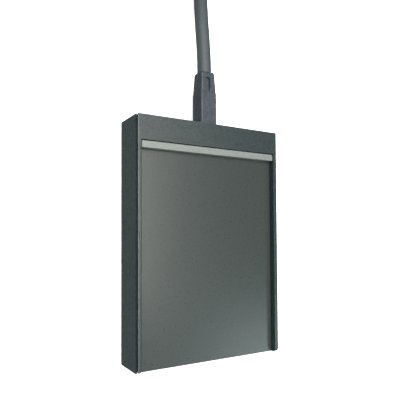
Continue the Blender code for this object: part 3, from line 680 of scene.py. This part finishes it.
def rail_end_rod(radius, steps=24):
    """A rod along the open end's upper edge, past both sides of the cover."""
    reach = HALF_W + 0.002
    section = []
    for step in range(steps * 4):
        angle = math.pi / 2 * step / steps
        y = -HALF_L + radius + radius * math.cos(angle)
        z = FACE - radius + radius * math.sin(angle)
        section.append((y, z))
    return loft("rod", [[(x, y, z) for y, z in section] for x in (-reach, reach)])


def sharpen(place, levels):
    """Moves a point of a rounded edge, at one of the levels, out to the sharp corner."""
    reach = EDGE + 0.00001
    at_side = HALF_W - abs(place.x) < reach
    at_end = HALF_L - abs(place.y) < reach
    if not (at_side or at_end):
        return
    for level in levels:
        if abs(place.z - level) < reach:
            place.z = level
            if at_side:
                place.x = math.copysign(HALF_W, place.x)
            if at_end:
                place.y = math.copysign(HALF_L, place.y)


def make_housing():
    """The rear housing with crisp outer edges along its shadow gap and its back."""
    node = frame["nodes"]["rear_housing"]
    piece = add("rear_tub", node.data.copy())
    piece.data.transform(node.matrix_world)
    low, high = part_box("rear_housing")
    for vert in piece.data.vertices:
        sharpen(vert.co, (low.z, high.z))
    bm = bmesh.new()
    bm.from_mesh(piece.data)
    bmesh.ops.remove_doubles(bm, verts=bm.verts, dist=0.00001)
    bmesh.ops.dissolve_degenerate(bm, edges=bm.edges, dist=0.00001)
    bm.to_mesh(piece.data)
    bm.free()
    smooth(piece, 30)
    return finish_piece(piece, finishes["case plastic"], "case plastic", "rear_housing")


def make_card_plate():
    """The satin insert in the tray, with soft edges. It lies against the right rail and the strip."""
    left, right = -HALF_W + RAIL_W + PLATE_GROOVE, HALF_W - RAIL_W - TOUCHING
    end = GUIDE_LOW.y - TOUCHING
    plate = block("tray_plate", (left, PLATE_LOW.y, PLATE_LOW.z), (right, end, PLATE_HIGH.z))
    bevel(plate, 0.00012, 3)
    smooth(settle(plate))
    return finish_piece(plate, finishes["plate plastic"], "plate plastic", "card_plate")


def make_light_strip():
    """The frosted strip across the tray, with soft edges."""
    strip = block("light_strip", (GUIDE_LOW.x, GUIDE_LOW.y, PLATE_HIGH.z - 0.0002), GUIDE_HIGH)
    bevel(strip, 0.00015, 4)
    smooth(settle(strip))
    return finish_piece(strip, finishes["light guide"], "light guide", "light_guide")


# ---- Stage --------------------------------------------------------------------------------------


def make_floor():
    bm = bmesh.new()
    bmesh.ops.create_grid(bm, x_segments=1, y_segments=1, size=12.0)
    floor = add("floor", to_mesh("floor", bm))
    floor.visible_glossy = False
    paint = Finish("floor_paint", 0.9, specular=0.1)
    paint.shader.inputs["Emission Color"].default_value = (1.0, 1.0, 1.0, 1.0)
    paint.shader.inputs["Emission Strength"].default_value = 0.45
    paint.colour(paint.mix(paint.noise(0.4), (0.90, 0.90, 0.90), (0.93, 0.93, 0.93)))
    floor.data.materials.append(paint.material)


def area_light(name, place, target, size, power, colour=(1.0, 1.0, 1.0)):
    data = bpy.data.lights.new(name, "AREA")
    data.shape = "RECTANGLE"
    data.size, data.size_y = size
    data.energy = power
    data.color = colour
    light = bpy.data.objects.new(name, data)
    bpy.context.scene.collection.objects.link(light)
    light.location = place
    light.rotation_euler = (Vector(target) - Vector(place)).to_track_quat("-Z", "Y").to_euler()


def make_world():
    """An even pale surround, a little dimmer at the height of the horizon than above and below."""
    world = bpy.data.worlds.new("studio")
    world.use_nodes = True
    nodes, links = world.node_tree.nodes, world.node_tree.links
    place = nodes.new("ShaderNodeTexCoord")
    axes = nodes.new("ShaderNodeSeparateXYZ")
    links.new(place.outputs["Generated"], axes.inputs[0])
    level = nodes.new("ShaderNodeFloatCurve")
    curve = level.mapping.curves[0]
    for height, strength in ((0.15, 0.30), (0.33, 0.24), (0.60, 0.24), (0.72, 0.36)):
        curve.points.new(height, strength)
    curve.points[0].location = (0.0, 0.30)
    curve.points[-1].location = (1.0, 0.36)
    level.mapping.update()
    place_up = nodes.new("ShaderNodeMapRange")
    place_up.inputs["From Min"].default_value = -1.0
    links.new(axes.outputs["Z"], place_up.inputs["Value"])
    links.new(place_up.outputs["Result"], level.inputs["Value"])
    background = nodes["Background"]
    background.inputs["Color"].default_value = (0.88, 0.98, 1.0, 1.0)
    links.new(level.outputs["Value"], background.inputs["Strength"])
    bpy.context.scene.world = world
    bpy.context.scene.view_settings.view_transform = "Standard"


def make_lights():
    """Soft boxes over the plate, beyond the open end, along the left edge, in front and by the cable."""
    centre = (0.0, 0.0, 0.0)
    left_edge = (-0.03, 0.0, 0.0)
    cable = (0.0, 0.08, 0.0)
    cool, warm = (0.95, 1.0, 1.0), (1.0, 0.985, 0.93)
    area_light("long_box", (0.15, 0.17, 0.60), (0.15, 0.17, 0.0), (0.15, 0.60), 2.6, warm)
    area_light("end_box", (0.50, -0.30, 0.55), centre, (0.25, 0.25), 1.35, (0.80, 0.98, 1.0))
    area_light("edge_box", (-0.27, 0.05, 0.62), left_edge, (0.60, 0.05), 4.6, cool)
    area_light("front_box", (0.10, -0.60, 0.35), centre, (0.30, 0.20), 1.8, cool)
    area_light("cable_box", (-0.37, 0.43, 0.61), cable, (0.32, 0.32), 3.4, (0.94, 0.99, 1.0))


# ---- The model ----------------------------------------------------------------------------------

make_camera()
finishes = make_finishes()
paint_cad_nodes()
relief = make_relief()
plug_metal = ["usb_plug_shell", "usb_plug_tongue", *[f"usb_contact_{number}" for number in range(1, 5)]]
make_cable([relief, make_tie(), make_plug_grip(), *plug_metal])
make_cover()
make_housing()
make_card_plate()
make_light_strip()
make_floor()
make_world()
make_lights()
